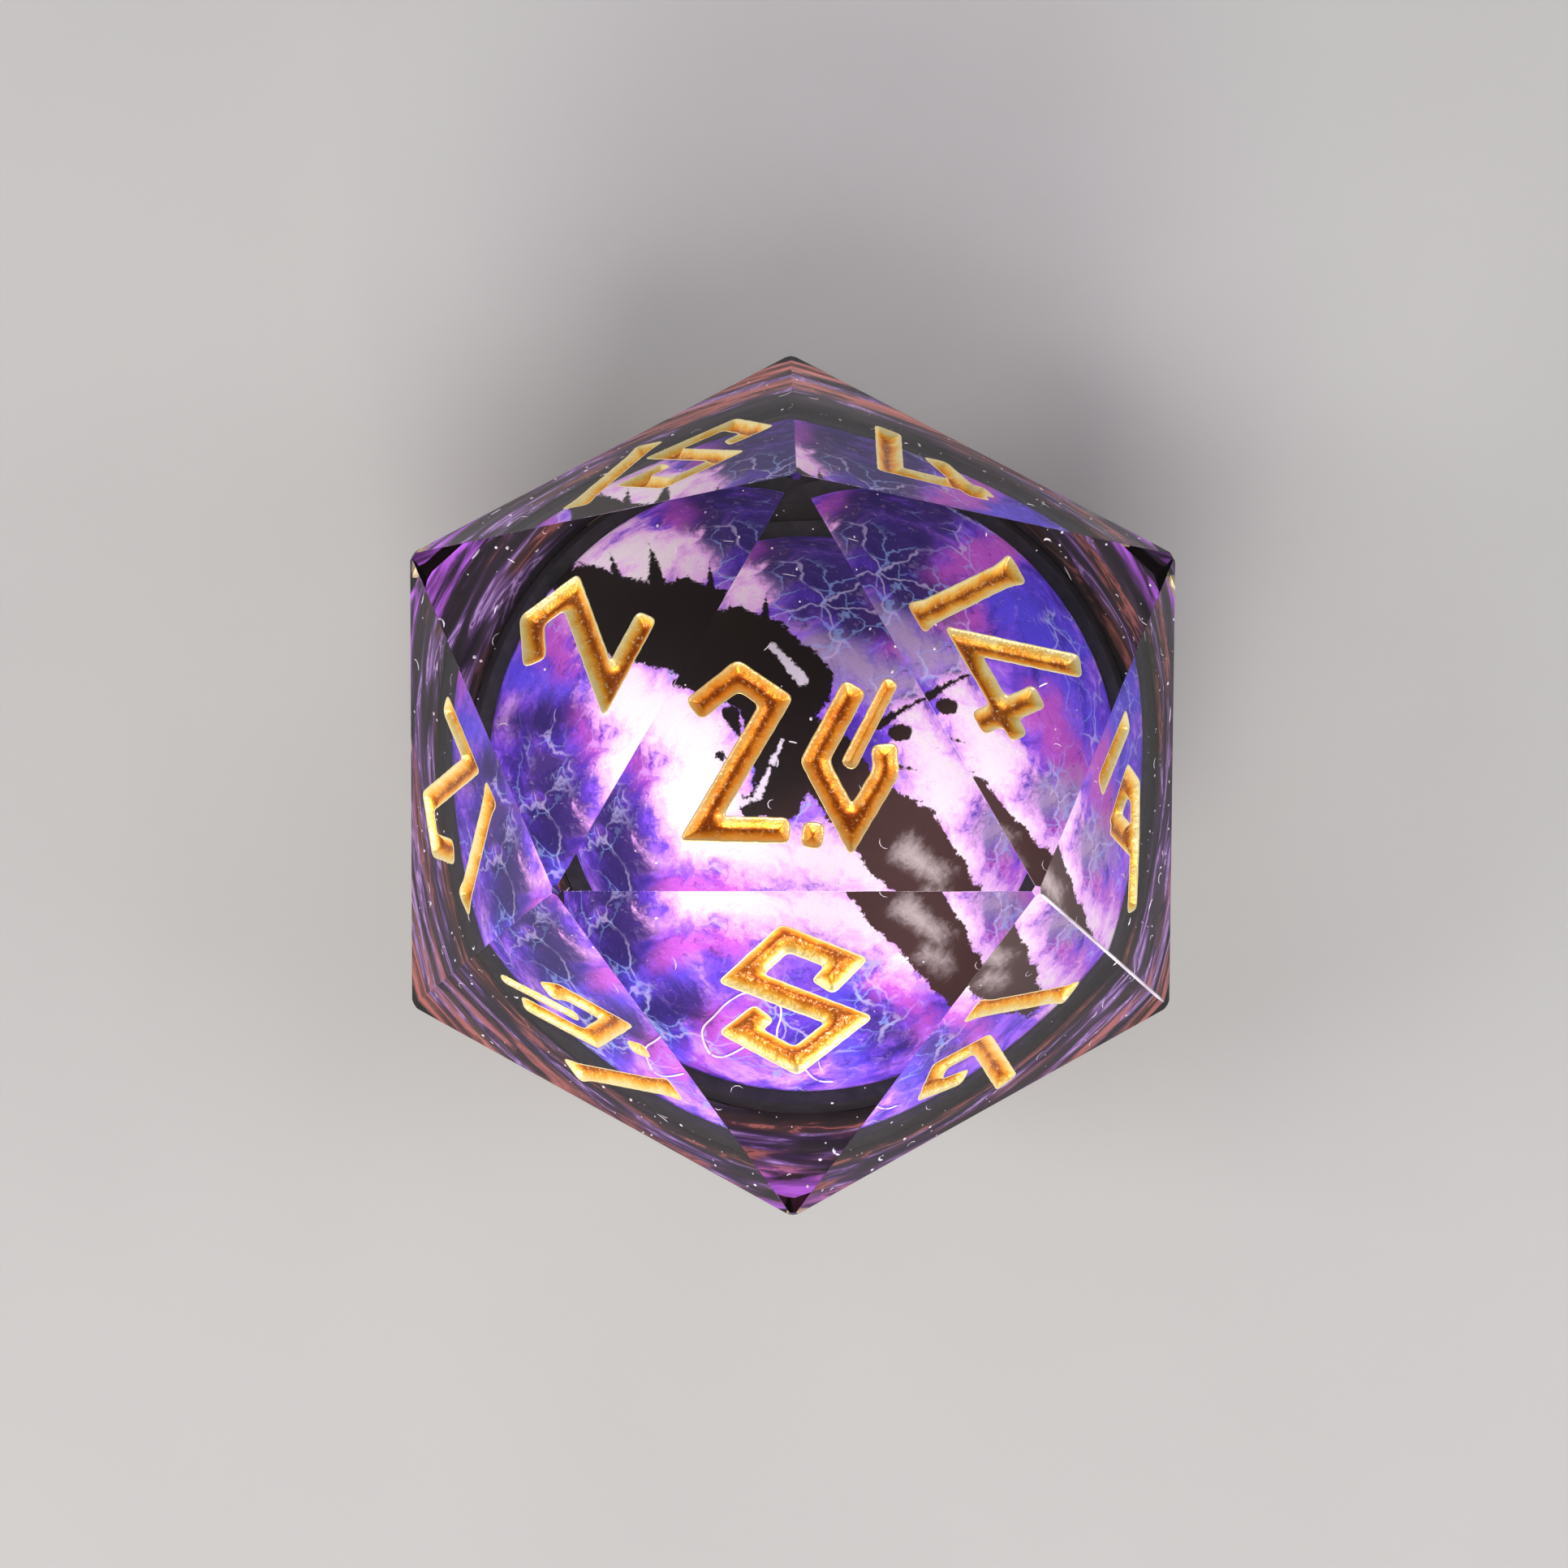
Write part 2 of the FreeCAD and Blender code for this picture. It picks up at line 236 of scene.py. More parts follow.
def beveled_icosahedron(inset):
    """The die's outside, this far inside the CAD's, with its edges and corners polished back."""
    shrink = 1 - inset / (FACE_TO_FACE / 2)
    bm = bmesh.new()
    for corner in icosahedron_corners():
        bm.verts.new(CENTRE + (corner - CENTRE) * shrink)
    bmesh.ops.convex_hull(bm, input=bm.verts)
    bmesh.ops.recalc_face_normals(bm, faces=bm.faces)
    bmesh.ops.bevel(bm, geom=bm.edges[:], offset=EDGE_BEVEL, offset_type="OFFSET",
                    segments=3, profile=0.5, affect="EDGES")
    for corner in icosahedron_corners():
        outward = (corner - CENTRE).normalized()
        cut_and_close(bm, CENTRE + outward * (CORNER_REACH - inset), outward)
    return bm


def cut_and_close(bm, point, outward):
    """Cuts off what lies beyond a plane and closes the opening."""
    cut = bmesh.ops.bisect_plane(bm, geom=bm.verts[:] + bm.edges[:] + bm.faces[:],
                                 plane_co=point, plane_no=outward, clear_outer=True)
    rim = [e for e in cut["geom_cut"] if isinstance(e, bmesh.types.BMEdge)]
    bmesh.ops.holes_fill(bm, edges=rim, sides=0)


class FacePlane:
    """A flat coordinate frame on one face of the die, in millimetres."""

    def __init__(self, normal, origin):
        self.normal = normal
        self.origin = origin
        self.across = normal.orthogonal().normalized()
        self.up = normal.cross(self.across)

    def flat(self, point):
        offset = point - self.origin
        return offset.dot(self.across), offset.dot(self.up)

    def height(self, point):
        return (point - self.origin).dot(self.normal)

    def solid(self, flat, height):
        return self.origin + self.across * flat[0] + self.up * flat[1] + self.normal * height


def border(sides):
    """From each point of an outline to the next, given the directed sides of the polygons in it."""
    known = set(sides)
    return {a: b for a, b in sides if (b, a) not in known}


def cap_outlines(node, plane):
    """The outlines of a CAD paint node's flat top, as closed loops of flat points."""
    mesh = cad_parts[node].data
    full_points = {}
    sides = []
    for polygon in mesh.polygons:
        points = [mesh.vertices[i].co / MM for i in polygon.vertices]
        if any(abs(plane.height(p) + PAINT_RECESS) > RECESS_TOLERANCE for p in points):
            continue
        flats = [plane.flat(p) for p in points]
        rounded = [(round(x, 3), round(y, 3)) for x, y in flats]
        full_points.update(zip(rounded, flats))
        sides += [(a, b) for a, b in zip(rounded, rounded[1:] + rounded[:1]) if a != b]
    following = border(sides)
    loops = []
    while following:
        start = next(iter(following))
        loop = [start]
        while following.get(loop[-1]) is not None:
            after = following.pop(loop[-1])
            if after == start:
                break
            loop.append(after)
        loops.append([full_points[point] for point in loop])
    return loops


def without_straight_points(loop):
    kept = []
    for i, point in enumerate(loop):
        before, after = loop[i - 1], loop[(i + 1) % len(loop)]
        into = Vector(point) - Vector(before)
        out = Vector(after) - Vector(point)
        if abs(into.normalized().cross(out.normalized())) > 0.01:
            kept.append(point)
    return kept


def grown(loop, distance):
    """The closed loop, which runs with its inside on the left, moved outward by distance."""
    moved = []
    for i, point in enumerate(loop):
        into = (Vector(point) - Vector(loop[i - 1])).normalized()
        out = (Vector(loop[(i + 1) % len(loop)]) - Vector(point)).normalized()
        middle = Vector((into.y + out.y, -into.x - out.x)).normalized()
        reach = distance / max(middle.dot(Vector((into.y, -into.x))), 0.3)
        moved.append(tuple(Vector(point) + middle * reach))
    return moved


def rounded_loop(loop):
    """The loop with each corner cut back to a short curve."""
    smooth = []
    for i, point in enumerate(loop):
        here = Vector(point)
        before, after = Vector(loop[i - 1]), Vector(loop[(i + 1) % len(loop)])
        cut = min(CORNER_ROUNDING, 0.45 * (here - before).length, 0.45 * (after - here).length)
        start = here + (before - here).normalized() * cut
        end = here + (after - here).normalized() * cut
        for share in (0.0, 0.33, 0.67, 1.0):
            bend = start.lerp(here, share).lerp(here.lerp(end, share), share)
            smooth.append(tuple(bend))
    return smooth


def divided(loop):
    """The loop with points added so that none are further apart than OUTLINE_STEP."""
    points = []
    for i, point in enumerate(loop):
        after = Vector(loop[(i + 1) % len(loop)])
        steps = max(1, math.ceil((after - Vector(point)).length / OUTLINE_STEP))
        points += [tuple(Vector(point).lerp(after, k / steps)) for k in range(steps)]
    return points


def wandering(loop, plane):
    """The loop's points moved in or out a little, as brushed paint dries."""
    moved = []
    for i, point in enumerate(loop):
        along = (Vector(loop[(i + 1) % len(loop)]) - Vector(loop[i - 1])).normalized()
        push = OUTLINE_WOBBLE * noise.noise(plane.solid(point, 0) * 4.0)
        moved.append((point[0] + along.y * push, point[1] - along.x * push))
    return moved


def loop_segments(loops):
    starts = np.array([point for loop in loops for point in loop])
    ends = np.array([point for loop in loops for point in loop[1:] + loop[:1]])
    return starts, ends


def distance_to(points, starts, ends):
    """Distance from each point to the nearest segment."""
    along = ends - starts
    lengths = (along ** 2).sum(1)
    offset = points[:, None, :] - starts[None]
    share = np.clip((offset * along).sum(2) / lengths, 0, 1)
    return np.linalg.norm(offset - share[..., None] * along, axis=2).min(1)


def inside(points, starts, ends):
    """True for the points within the loops, by counting crossings."""
    x, y = points[:, :1], points[:, 1:]
    spans_y = (starts[:, 1] > y) != (ends[:, 1] > y)
    rise = np.where(ends[:, 1] == starts[:, 1], 1e-12, ends[:, 1] - starts[:, 1])
    slope = (ends[:, 0] - starts[:, 0]) / rise
    crossing = spans_y & (x < starts[:, 0] + (y - starts[:, 1]) * slope)
    return crossing.sum(1) % 2 == 1


def grid_within(starts, ends):
    """A staggered grid of points inside the loops, clear of the outline."""
    low, high = starts.min(0), starts.max(0)
    rows = []
    row_step = GRID_STEP * math.sqrt(3) / 2
    for j in range(int((high[1] - low[1]) / row_step) + 1):
        first = low[0] + GRID_STEP / 2 * (j % 2)
        xs = np.arange(first, high[0], GRID_STEP)
        rows.append(np.stack([xs, np.full(len(xs), low[1] + j * row_step)], 1))
    points = np.concatenate(rows)
    points = points[inside(points, starts, ends)]
    return points[distance_to(points, starts, ends) > GRID_STEP * 0.5]


def groove_depth(distance):
    """The depth of the painted V below the face, this far in from its outline."""
    return PAINT_DEPTH * np.tanh(GROOVE_SLOPE * distance / PAINT_DEPTH)


def triangulated_face(plane, corners, loops):
    """Triangles that fill the face, with the numeral's outline as edges. Returns flat points,
    triangles, which triangles are in the numeral, and each point's distance inside it."""
    starts, ends = loop_segments(loops)
    grid = grid_within(starts, ends)
    points = [plane.flat(c) for c in corners]
    edges = []
    for loop in loops:
        first = len(points)
        points += loop
        edges += [(first + k, first + (k + 1) % len(loop)) for k in range(len(loop))]
    points += [tuple(p) for p in grid]
    made = geometry.delaunay_2d_cdt([Vector(p) for p in points], edges, [], 0, 1e-6)
    flats = np.array([tuple(v) for v in made[0]])
    triangles = [tuple(t) for t in made[2]]
    middles = np.array([flats[list(t)].mean(0) for t in triangles])
    in_numeral = inside(middles, starts, ends)
    distance = distance_to(flats, starts, ends)
    distance[~inside(flats, starts, ends) | (distance < 1e-4)] = 0
    return flats, triangles, in_numeral, distance


def add_face_to_resin(bm, plane, flats, triangles, depth):
    verts = [bm.verts.new(plane.solid(flat, -deep)) for flat, deep in zip(flats, depth)]
    for triangle in triangles:
        bm.faces.new([verts[i] for i in triangle])


def paint_mesh(plane, flats, triangles, distance):
    """A skin of paint over the groove: its visible side, its back, and a lip over the edge."""
    used = sorted({i for t in triangles for i in t})
    bm = bmesh.new()
    groove_shade = bm.verts.layers.float.new("groove_shade")
    depth = groove_depth(distance)
    top, back = {}, {}
    for i in used:
        place = plane.solid(flats[i], 0)
        grain = noise.noise(place * 9.0) + 0.6 * noise.noise(place * 23.0)
        fade = min(1.0, distance[i] / GRAIN_FADE)
        top[i] = bm.verts.new(plane.solid(flats[i], -depth[i] + GRAIN_HEIGHT * grain * fade))
        # Share of the way to the stroke's middle, which sets the painted shade down the middle.
        top[i][groove_shade] = min(1.0, distance[i] / MIDDLE_OF_STROKE)
        back[i] = bm.verts.new(plane.solid(flats[i], -depth[i] - PAINT_SKIN))
    sides = []
    for triangle in triangles:
        bm.faces.new([top[i] for i in triangle])
        bm.faces.new([back[i] for i in reversed(triangle)])
        sides += zip(triangle, triangle[1:] + triangle[:1])
    add_lip(bm, plane, flats, border(sides), top, back)
    return bm


def add_lip(bm, plane, flats, rim, top, back):
    """The edge of the paint, lapping a little way over the face all round the groove."""
    before = {b: a for a, b in rim.items()}
    lip, under = {}, {}
    for i in rim:
        here = Vector(flats[i])
        into = (here - Vector(flats[before[i]])).normalized()
        out = (Vector(flats[rim[i]]) - here).normalized()
        away = Vector((into.y + out.y, -into.x - out.x)).normalized() * PAINT_LIP
        lip[i] = bm.verts.new(plane.solid(here + away, -RESIN_INSET * 0.6))
        under[i] = bm.verts.new(plane.solid(here + away, -PAINT_SKIN * 0.5))
    for a, b in rim.items():
        bm.faces.new([top[b], top[a], lip[a], lip[b]])
        bm.faces.new([lip[b], lip[a], under[a], under[b]])
        bm.faces.new([under[b], under[a], back[a], back[b]])


# ---------------------------------------------------------------- materials

class Nodes:
    """Shorthand for building a node tree."""

    def __init__(self, name):
        self.material = bpy.data.materials.new(name)
        self.material.use_nodes = True
        self.tree = self.material.node_tree
        self.tree.nodes.clear()
        self.output = self.add("ShaderNodeOutputMaterial")

    def add(self, kind, **settings):
        node = self.tree.nodes.new(kind)
        for key, value in settings.items():
            setattr(node, key, value)
        return node

    def put(self, value, socket):
        if isinstance(value, bpy.types.NodeSocket):
            self.tree.links.new(value, socket)
        else:
            socket.default_value = value

    def math(self, operation, *values):
        node = self.add("ShaderNodeMath", operation=operation)
        for value, socket in zip(values, node.inputs):
            self.put(value, socket)
        return node.outputs[0]

    def vector(self, operation, *values):
        node = self.add("ShaderNodeVectorMath", operation=operation)
        for value, socket in zip(values, node.inputs):
            self.put(value, socket)
        return node.outputs["Value" if operation in ("DOT_PRODUCT", "LENGTH", "DISTANCE") else "Vector"]

    def scaled(self, vector, factor):
        node = self.add("ShaderNodeVectorMath", operation="SCALE")
        self.put(vector, node.inputs[0])
        self.put(factor, node.inputs["Scale"])
        return node.outputs["Vector"]

    def position(self):
        return self.add("ShaderNodeTexCoord").outputs["Object"]

    def noise(self, place, scale, detail=4.0, roughness=0.5, distortion=0.0):
        node = self.add("ShaderNodeTexNoise")
        self.put(place, node.inputs["Vector"])
        node.inputs["Scale"].default_value = scale
        node.inputs["Detail"].default_value = detail
        node.inputs["Roughness"].default_value = roughness
        node.inputs["Distortion"].default_value = distortion
        return node

    def cell_edges(self, place, scale):
        node = self.add("ShaderNodeTexVoronoi", feature="DISTANCE_TO_EDGE")
        self.put(place, node.inputs["Vector"])
        node.inputs["Scale"].default_value = scale
        return node.outputs["Distance"]

    def centred_noise(self, place, scale, detail, roughness, distortion=0.0):
        """Noise that is as often below nought as above it."""
        value = self.noise(place, scale, detail, roughness, distortion).outputs["Fac"]
        return self.math("SUBTRACT", value, 0.5)

    def split(self, vector, axis):
        node = self.add("ShaderNodeSeparateXYZ")
        self.put(vector, node.inputs[0])
        return node.outputs[axis]

    def mixed_shaders(self, share, first, second):
        node = self.add("ShaderNodeMixShader")
        for entry, socket in zip((share, first.outputs[0], second.outputs[0]), node.inputs):
            self.put(entry, socket)
        return node

    def between(self, value, low, high, to_low=0.0, to_high=1.0, smooth=True):
        """The value carried from the range low-high to another range, and held at its ends."""
        kind = "SMOOTHSTEP" if smooth else "LINEAR"
        node = self.add("ShaderNodeMapRange", interpolation_type=kind)
        for entry, socket in zip((value, low, high, to_low, to_high), node.inputs):
            self.put(entry, socket)
        return node.outputs["Result"]

    def ramp(self, value, stops):
        node = self.add("ShaderNodeValToRGB")
        self.put(value, node.inputs["Fac"])
        while len(node.color_ramp.elements) < len(stops):
            node.color_ramp.elements.new(0.5)
        for element, (place, colour) in zip(node.color_ramp.elements, stops):
            element.position = place
            element.color = (*colour, 1)
        return node.outputs["Color"]

    def mixed(self, share, first, second, blend="MIX"):
        node = self.add("ShaderNodeMix", data_type="RGBA", blend_type=blend)
        self.put(share, node.inputs["Factor"])
        for entry, socket in zip((first, second), (node.inputs[6], node.inputs[7])):
            self.put(entry if isinstance(entry, bpy.types.NodeSocket) else (*entry, 1), socket)
        return node.outputs[2]

    def union(self, capsules, place):
        """How far inside any of these round-ended tapering bars a place lies, in its own units."""
        most = None
        for start, end, first, last in capsules:
            run = Vector((end[0] - start[0], end[1] - start[1], 0))
            offset = self.vector("MULTIPLY", self.vector("SUBTRACT", place, (*start, 0)), (1, 1, 0))
            share = self.vector("DOT_PRODUCT", offset, tuple(run / run.length_squared))
            held = self.math("MINIMUM", self.math("MAXIMUM", share, 0.0), 1.0)
            gap = self.vector("DISTANCE", offset, self.scaled(tuple(run), held))
            depth = self.math("SUBTRACT", self.math("MULTIPLY_ADD", held, last - first, first), gap)
            most = depth if most is None else self.math("MAXIMUM", most, depth)
        return most

    def bump(self, height, strength, distance):
        node = self.add("ShaderNodeBump")
        self.put(height, node.inputs["Height"])
        node.inputs["Strength"].default_value = strength
        node.inputs["Distance"].default_value = distance
        return node.outputs["Normal"]

    def principled(self, **values):
        node = self.add("ShaderNodeBsdfPrincipled")
        for key, value in values.items():
            name = key.replace("_", " ")
            if not isinstance(value, (bpy.types.NodeSocket, float, int)) and len(value) == 3:
                value = (*value, 1)
            self.put(value, node.inputs[name])
        return node

    def finish(self, surface, volume=None):
        self.put(surface.outputs[0], self.output.inputs["Surface"])
        if volume is not None:
            self.put(volume.outputs[0], self.output.inputs["Volume"])
        return self.material


def resin_material():
    """Clear polished resin, smoky in its lower pour. Lamps shine through it onto what it holds."""
    n = Nodes("resin")
    height = n.math("DIVIDE", n.split(n.position(), "Z"), MM)
    cloud = n.noise(n.position(), 260, 3).outputs["Fac"]
    edge = n.math("ADD", height, n.math("MULTIPLY", n.math("SUBTRACT", cloud, 0.5), 1.6))
    clear = n.between(edge, PARTING_HEIGHT - 1.2, PARTING_HEIGHT + 0.8)
    tint = n.mixed(clear, (0.42, 0.22, 0.30), (0.98, 0.96, 1.0))
    glass = n.principled(Base_Color=tint, Roughness=0.0, IOR=1.5, Transmission_Weight=1.0)
    unreflecting = n.add("ShaderNodeBsdfRefraction")
    n.put(tint, unreflecting.inputs["Color"])
    unreflecting.inputs["Roughness"].default_value = 0.0
    unreflecting.inputs["IOR"].default_value = 1.5
    calm = n.mixed_shaders(0.55, glass, unreflecting)
    lit = n.add("ShaderNodeBsdfTransparent")
    lit.inputs["Color"].default_value = (0.93, 0.9, 0.96, 1)
    return n.finish(n.mixed_shaders(n.add("ShaderNodeLightPath").outputs["Is Shadow Ray"], calm, lit))


def smoke_material():
    """The smoky tint inside the first pour, which darkens what is seen through its depth."""
    n = Nodes("smoke")
    surface = n.add("ShaderNodeBsdfTransparent")
    surface.inputs["Color"].default_value = (1, 1, 1, 1)
    volume = n.add("ShaderNodeVolumeAbsorption")
    volume.inputs["Color"].default_value = (0.46, 0.14, 0.28, 1)
    volume.inputs["Density"].default_value = 350
    return n.finish(surface, volume)


def film_material():
    """A dark film where the two pours meet, drawn out in streaks round the disc. Its violet and rose
    streaks and corner colours are painted reflections, and its glow is painted light.
    """
    n = Nodes("painted_reflection_film")
    place = n.scaled(n.position(), 1 / MM)
    flat = n.vector("MULTIPLY", n.vector("SUBTRACT", place, tuple(DISC_MIDDLE)), (1, 1, 0))
    reach = n.vector("LENGTH", flat)
    heading = n.vector("NORMALIZE", flat)
    lift = n.add("ShaderNodeCombineXYZ")
    n.put(n.math("MULTIPLY", reach, 1.7), lift.inputs["Z"])
    drawn = n.vector("ADD", n.vector("MULTIPLY", heading, (2.2, 2.2, 0)), lift.outputs["Vector"])
    streak = n.noise(drawn, 1.3, 4, 0.55, 0.7).outputs["Fac"]
    hue = n.noise(drawn, 0.6, 2).outputs["Fac"]
    # The violet and rose streaks are painted reflections of the picture and its surroundings in the
    # rim.
    violet = n.ramp(streak, [
        (0.40, (0.016, 0.011, 0.016)), (0.52, (0.040, 0.020, 0.052)), (0.575, (0.16, 0.08, 0.24)),
        (0.60, (0.46, 0.30, 0.62)), (0.625, (0.10, 0.045, 0.14)), (0.72, (0.030, 0.018, 0.028)),
    ])
    rose = n.ramp(streak, [
        (0.38, (0.024, 0.014, 0.016)), (0.48, (0.060, 0.024, 0.024)), (0.53, (0.34, 0.11, 0.09)),
        (0.56, (0.075, 0.026, 0.028)), (0.64, (0.028, 0.018, 0.020)), (0.74, (0.14, 0.05, 0.06)),
    ])
    colour = n.mixed(n.between(hue, 0.47, 0.56), violet, rose)
    # Of the six corners round the die's middle, this is 1 toward the three higher ones and -1
    # toward the three lower ones.
    north = n.split(heading, "Y")
    cube = n.math("MULTIPLY", n.math("MULTIPLY", north, north), north)
    high_corner = n.math("SUBTRACT", n.math("MULTIPLY", north, 3.0), n.math("MULTIPLY", cube, 4.0))
    # Toward the rim and in the two higher corners, a painted reflection in salmon or violet.
    painted_reflection_tone = n.mixed(n.between(high_corner, -0.3, 0.6), (0.55, 0.17, 0.14), (0.46, 0.11, 0.72))
    outer = n.math("MULTIPLY", n.between(reach, 8.8, 10.0), n.between(hue, 0.40, 0.62))
    corner_reflection = n.math("MULTIPLY", n.between(high_corner, 0.70, 0.93), n.between(reach, 9.0, 9.8))
    outer = n.math("MAXIMUM", outer, corner_reflection)
    colour = n.mixed(n.math("MULTIPLY", outer, n.between(streak, 0.36, 0.56)), colour, painted_reflection_tone)
    # The dark ring beside the disc is wider toward +Y.
    widened = n.math("SUBTRACT", reach, n.between(north, 0.90, 0.97, 0.0, 1.3))
    ring = n.between(widened, BACKING_REACH, BACKING_REACH + 0.5)
    colour = n.mixed(ring, (0.012, 0.009, 0.012), colour)
    # Painted light: the film glows more toward the rim, and most in the painted corner reflections on
    # the +Y side.
    shine = n.math("MULTIPLY", corner_reflection, n.between(north, -0.5, 0.4, 0.0, 0.7))
    glow = n.math("ADD", n.between(reach, 8.0, 9.5, 0.08, 0.35), shine)
    skin = n.principled(Base_Color=colour, Roughness=0.35, Normal=n.bump(streak, 0.5, 0.0001),
                        Emission_Color=colour, Emission_Strength=glow)
    thin_places = n.between(streak, 0.35, 0.65, 0.75, 0.3)
    open_share = n.math("MULTIPLY", n.between(reach, 8.2, 11.5), thin_places)
    return n.finish(n.mixed_shaders(open_share, skin, n.add("ShaderNodeBsdfTransparent")))


def gold_material():
    """Metallic gold paint, with a painted highlight on the rims of a groove and painted shade, burnt
    orange, down its middle. The numerals on the top face get more painted shade, so the 20 is browner;
    pale grains are painted glints, and the paint glows a little with painted light."""
    n = Nodes("gold_paint")
    place = n.position()
    patches = n.noise(place, 1500, 3, 0.6).outputs["Fac"]
    grains = n.noise(place, 9000, 2, 0.7).outputs["Fac"]
    # Painted highlight and shade: pale on the rims of each groove, burnt orange down its middle.
    groove_shade = n.add("ShaderNodeAttribute", attribute_name="groove_shade").outputs["Fac"]
    depth = n.math("ADD", groove_shade, n.math("MULTIPLY", n.math("SUBTRACT", patches, 0.5), 0.9))
    colour = n.ramp(depth, [
        (0.08, (1.0, 0.83, 0.42)), (0.32, (1.0, 0.62, 0.13)), (0.56, (0.94, 0.37, 0.025)),
        (0.80, (0.50, 0.13, 0.008)), (1.0, (0.33, 0.07, 0.005)),
    ])
    # Pale grains mixed in: painted glints on the paint.
    colour = n.mixed(n.between(grains, 0.56, 0.68, 0.0, 0.55), colour, (1.0, 0.86, 0.45))
    # Painted shade on the numerals of the top face, which makes the 20 browner.
    height = n.math("DIVIDE", n.split(place, "Z"), MM)
    top = n.between(height, FACE_TO_FACE - 1.2, FACE_TO_FACE - 0.8, 0.0, 0.8)
    colour = n.mixed(top, colour, (0.86, 0.62, 0.42), "MULTIPLY")
    relief = n.math("ADD", grains, n.math("MULTIPLY", patches, 1.5))
    sheen = n.between(grains, 0.3, 0.7, 0.26, 0.40, smooth=False)
    # The emission is painted light that lifts the paint.
    paint = n.principled(Base_Color=colour, Metallic=0.7, Roughness=sheen,
                         Normal=n.bump(relief, 0.4, 0.00004),
                         Emission_Color=colour, Emission_Strength=0.2)
    return n.finish(paint)


def with_patch(n, place, fray, base, bars, low, high, most, tone, fuzz=2.6):
    """The colour with a frayed patch of a tone over it, in the shape of these bars."""
    spread = n.math("ADD", n.union(bars, place), n.math("MULTIPLY", fray, fuzz))
    return n.mixed(n.between(spread, low, high, 0.0, most), base, tone)


def storm_clouds(n, place):
    """Violet and indigo clouds. Returns their colour and how it frays."""
    warp = n.noise(place, 0.30, 5, 0.6)
    swirl = n.scaled(n.vector("SUBTRACT", warp.outputs["Color"], (0.5, 0.5, 0.5)), 3.6)
    bent = n.vector("ADD", place, swirl)
    billows = n.noise(bent, 0.42, 9, 0.62, 0.8).outputs["Fac"]
    colour = n.ramp(billows, [
        (0.32, (0.036, 0.016, 0.22)), (0.42, (0.095, 0.035, 0.52)), (0.50, (0.21, 0.075, 0.80)),
        (0.58, (0.41, 0.15, 0.96)), (0.68, (0.70, 0.36, 0.98)), (0.80, (0.90, 0.68, 1.0)),
    ])
    fray = n.centred_noise(bent, 0.9, 9, 0.68)
    streaks = n.centred_noise(bent, 1.9, 7, 0.7, 1.2)
    colour = with_patch(n, place, fray, colour, BLUE, -0.5, 0.5, 0.8, (0.11, 0.075, 0.88))
    colour = with_patch(n, place, fray, colour, ROSE, -0.5, 0.4, 0.85, (0.60, 0.10, 0.62))
    colour = with_patch(n, place, fray, colour, MIST, -0.6, 0.5, 0.85, (0.50, 0.36, 0.58))
    colour = with_patch(n, place, fray, colour, INDIGO, -0.6, 0.5, 0.92, (0.028, 0.016, 0.13))
    colour = n.mixed(n.between(streaks, 0.05, 0.24, 0.0, 0.4), colour, (0.80, 0.56, 0.98))
    colour = n.mixed(n.between(streaks, -0.05, -0.2, 0.0, 0.75), colour, (0.05, 0.02, 0.16))
    return colour, fray


def with_lightning(n, place, colour):
    """Two webs of jagged veins, a coarse lilac one and a finer blue one."""
    for scale, width, low, tone in ((0.50, 0.036, 0.46, (0.70, 0.62, 1.0)),
                                    (0.85, 0.044, 0.48, (0.32, 0.48, 0.98))):
        bends = n.noise(place, scale * 1.8, 3, 0.5).outputs["Color"]
        jag = n.vector("SUBTRACT", bends, (0.5, 0.5, 0.5))
        cells = n.cell_edges(n.vector("ADD", place, n.scaled(jag, 0.7 / scale)), scale)
        where = n.between(n.noise(place, 0.36, 2).outputs["Fac"], low, low + 0.12)
        vein = n.math("MULTIPLY", n.between(cells, width, 0.0), where)
        colour = n.mixed(n.math("MULTIPLY", vein, 0.55), colour, tone)
    return colour


def with_flash(n, place, fray, colour):
    """A white flash with a violet fringe."""
    for low, high, tone in ((-0.7, 0.0, (0.84, 0.40, 0.94)), (-0.35, 0.45, (0.93, 0.70, 0.96)),
                            (0.0, 0.7, (0.91, 0.79, 0.90))):
        colour = with_patch(n, place, fray, colour, FLASH, low, high, 1.0, tone, 3.4)
    return colour


def with_dark_bank(n, place, fray, colour):
    """A torn black-brown bank of cloud, with haze and a few pale flecks on it."""
    lumps = n.centred_noise(place, 0.9, 8, 0.7)
    spikes = n.centred_noise(place, 6.5, 4, 0.75)
    ragged = n.math("ADD", n.math("MULTIPLY", lumps, 0.7), n.math("MULTIPLY", spikes, 0.42))
    torn = n.math("ADD", n.union(TATTERS, place), n.math("MULTIPLY", spikes, 0.36))
    whole = n.math("ADD", n.union(BANK, place), n.math("ADD", ragged, 0.12))
    bank = n.between(n.math("MAXIMUM", whole, torn), 0.0, 0.06)
    browner = n.between(n.vector("DOT_PRODUCT", place, (1.0, -1.5, 0.0)), 0.0, 4.5)
    dark = n.mixed(browner, (0.010, 0.005, 0.005), (0.060, 0.026, 0.024))
    haze = n.math("ADD", n.union(HAZE, place), n.math("MULTIPLY", fray, 1.6))
    dark = n.mixed(n.between(haze, -0.3, 0.6), dark, (0.50, 0.42, 0.42))
    colour = n.mixed(bank, colour, dark)
    fleck = n.math("ADD", n.union(FLECKS, place), n.math("MULTIPLY", spikes, 0.35))
    return n.mixed(n.between(fleck, 0.0, 0.06), colour, (0.74, 0.66, 0.78))


